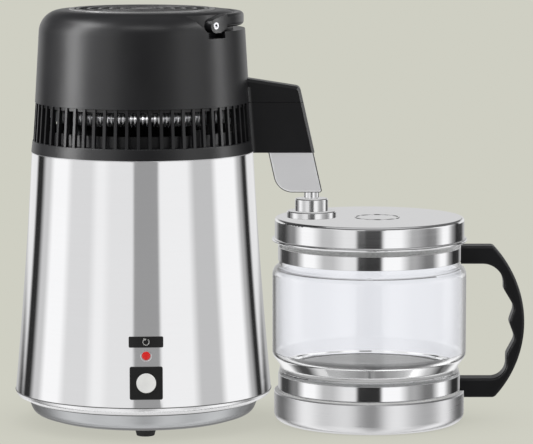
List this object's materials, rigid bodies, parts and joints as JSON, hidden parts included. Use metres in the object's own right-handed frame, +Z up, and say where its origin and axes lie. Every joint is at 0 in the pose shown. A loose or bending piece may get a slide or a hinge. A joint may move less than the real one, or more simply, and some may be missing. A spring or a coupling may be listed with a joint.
{
  "type": "countertop water distiller",
  "caption": "Tapered steel boiler with a lift-off fan head, a finned condenser and a spout arm that drips into a lidded glass jug with a loop handle.",
  "frame": {"origin": "on the floor under the middle of the whole object's box", "axes": "+Z up, +X from the boiler to the jug, controls face -Y"},
  "size_m": [0.4544, 0.2307, 0.3688],
  "materials": {
    "shell_steel": "bright brushed",
    "tank_steel": "drawn, satin",
    "ring_steel": "satin",
    "pan_grey": "satin grey",
    "rubber_black": "matte",
    "silicone": "translucent silicone",
    "zinc_steel": "zinc plated",
    "heater_aluminium": "cast",
    "element_steel": "oxidised",
    "head_plastic": "dark satin",
    "grille_plastic": "gloss",
    "bail_plastic": "gloss",
    "switch_plastic": "gloss",
    "button_white": "gloss",
    "button_red": "gloss",
    "bezel_chrome": "polished",
    "label_black": "satin, bare",
    "bakelite": "matte",
    "terminal_white": "matte",
    "brass": "bright",
    "tube_steel": "polished",
    "fin_aluminium": "bright",
    "nozzle_steel": "satin",
    "fan_plastic": "matte",
    "motor_steel": "plated",
    "pin_chrome": "polished",
    "jug_glass": "clear",
    "band_steel": "polished",
    "cap_steel": "satin spun",
    "insert_plastic": "matte",
    "disc_steel": "spun",
    "grip_plastic": "dark satin",
    "lid_steel": "bright spun",
    "plug_plastic": "matte",
    "collar_chrome": "polished"
  },
  "bodies": {
    "boiler": {"boiler_shell": "shell_steel", "inner_tank": "tank_steel", "base_ring": "ring_steel", "base_pan": "pan_grey", "rubber_feet": "rubber_black", "foot_screws": "zinc_steel", "tie_rods": "zinc_steel", "tie_nuts": "zinc_steel", "heater_plate": "heater_aluminium", "heating_element": "element_steel", "thermostat": "zinc_steel", "terminal_block": "terminal_white", "switch_frame": "switch_plastic", "switch_body": "bakelite", "reset_bezel": "bezel_chrome", "thermal_cutout": "bakelite", "label_plate": "label_black", "power_inlet": "bakelite", "inlet_pins": "brass", "fan_lead_socket": "bakelite"},
    "switch_button": {"switch_button": "button_white"},
    "reset_button": {"reset_button": "button_red"},
    "head": {"vent_ring": "head_plastic", "cover_screws": "zinc_steel", "lead_gland": "rubber_black", "head_seal": "silicone", "head_tray": "tank_steel", "air_spreader": "fan_plastic", "condenser_tube": "tube_steel", "condenser_fins": "fin_aluminium", "riser_nut": "brass", "tube_union": "brass", "outlet_tube": "tube_steel", "nozzle_cover": "nozzle_steel", "head_cover": "head_plastic", "top_grille": "grille_plastic", "grille_screws": "zinc_steel", "motor_bracket": "zinc_steel", "bracket_screws": "zinc_steel", "fan_motor": "motor_steel", "handle_pins": "pin_chrome"},
    "fan": {"fan_rotor": "fan_plastic"},
    "carry_handle": {"carry_handle": "bail_plastic"},
    "jug": {"jug_glass": "jug_glass", "jug_base_cap": "cap_steel", "base_insert": "insert_plastic", "base_disc": "disc_steel", "upper_band": "band_steel", "lower_band": "band_steel", "jug_handle": "grip_plastic", "handle_screws": "zinc_steel"},
    "lid": {"lid_shell": "lid_steel", "lid_plug": "plug_plastic", "lid_seal": "silicone", "filter_flange": "collar_chrome", "filter_collar": "collar_chrome", "filter_pod": "plug_plastic", "pod_nut": "plug_plastic"}
  },
  "joints": [
    {"name": "head_lift", "type": "slide", "parent": "boiler", "child": "head", "axis": [0, 0, 1], "range_m": [0, 0.15]},
    {"name": "handle_swing", "type": "hinge", "parent": "head", "child": "carry_handle", "pos_m": [-0.11275, 0, 0.3566], "axis": [0.7408, -0.6717, 0], "range_deg": [0, 105]},
    {"name": "fan_spin", "type": "hinge", "parent": "head", "child": "fan", "pos_m": [-0.11275, 0, 0.3394], "axis": [0, 0, 1], "continuous": true},
    {"name": "switch_press", "type": "slide", "parent": "boiler", "child": "switch_button", "axis": [-0.0573, 0.9943, -0.09], "range_m": [0, 0.0025], "stiffness_N_per_m": 200},
    {"name": "reset_press", "type": "slide", "parent": "boiler", "child": "reset_button", "axis": [-0.0573, 0.9943, -0.09], "range_m": [0, 0.0015], "stiffness_N_per_m": 200},
    {"name": "jug_pull", "type": "slide", "parent": "boiler", "child": "jug", "axis": [1, 0, 0], "range_m": [0, 0.15]},
    {"name": "lid_turn", "type": "hinge", "parent": "jug", "child": "lid", "pos_m": [0.08915, 0, 0.183], "axis": [0, 0, 1], "continuous": true}
  ]
}
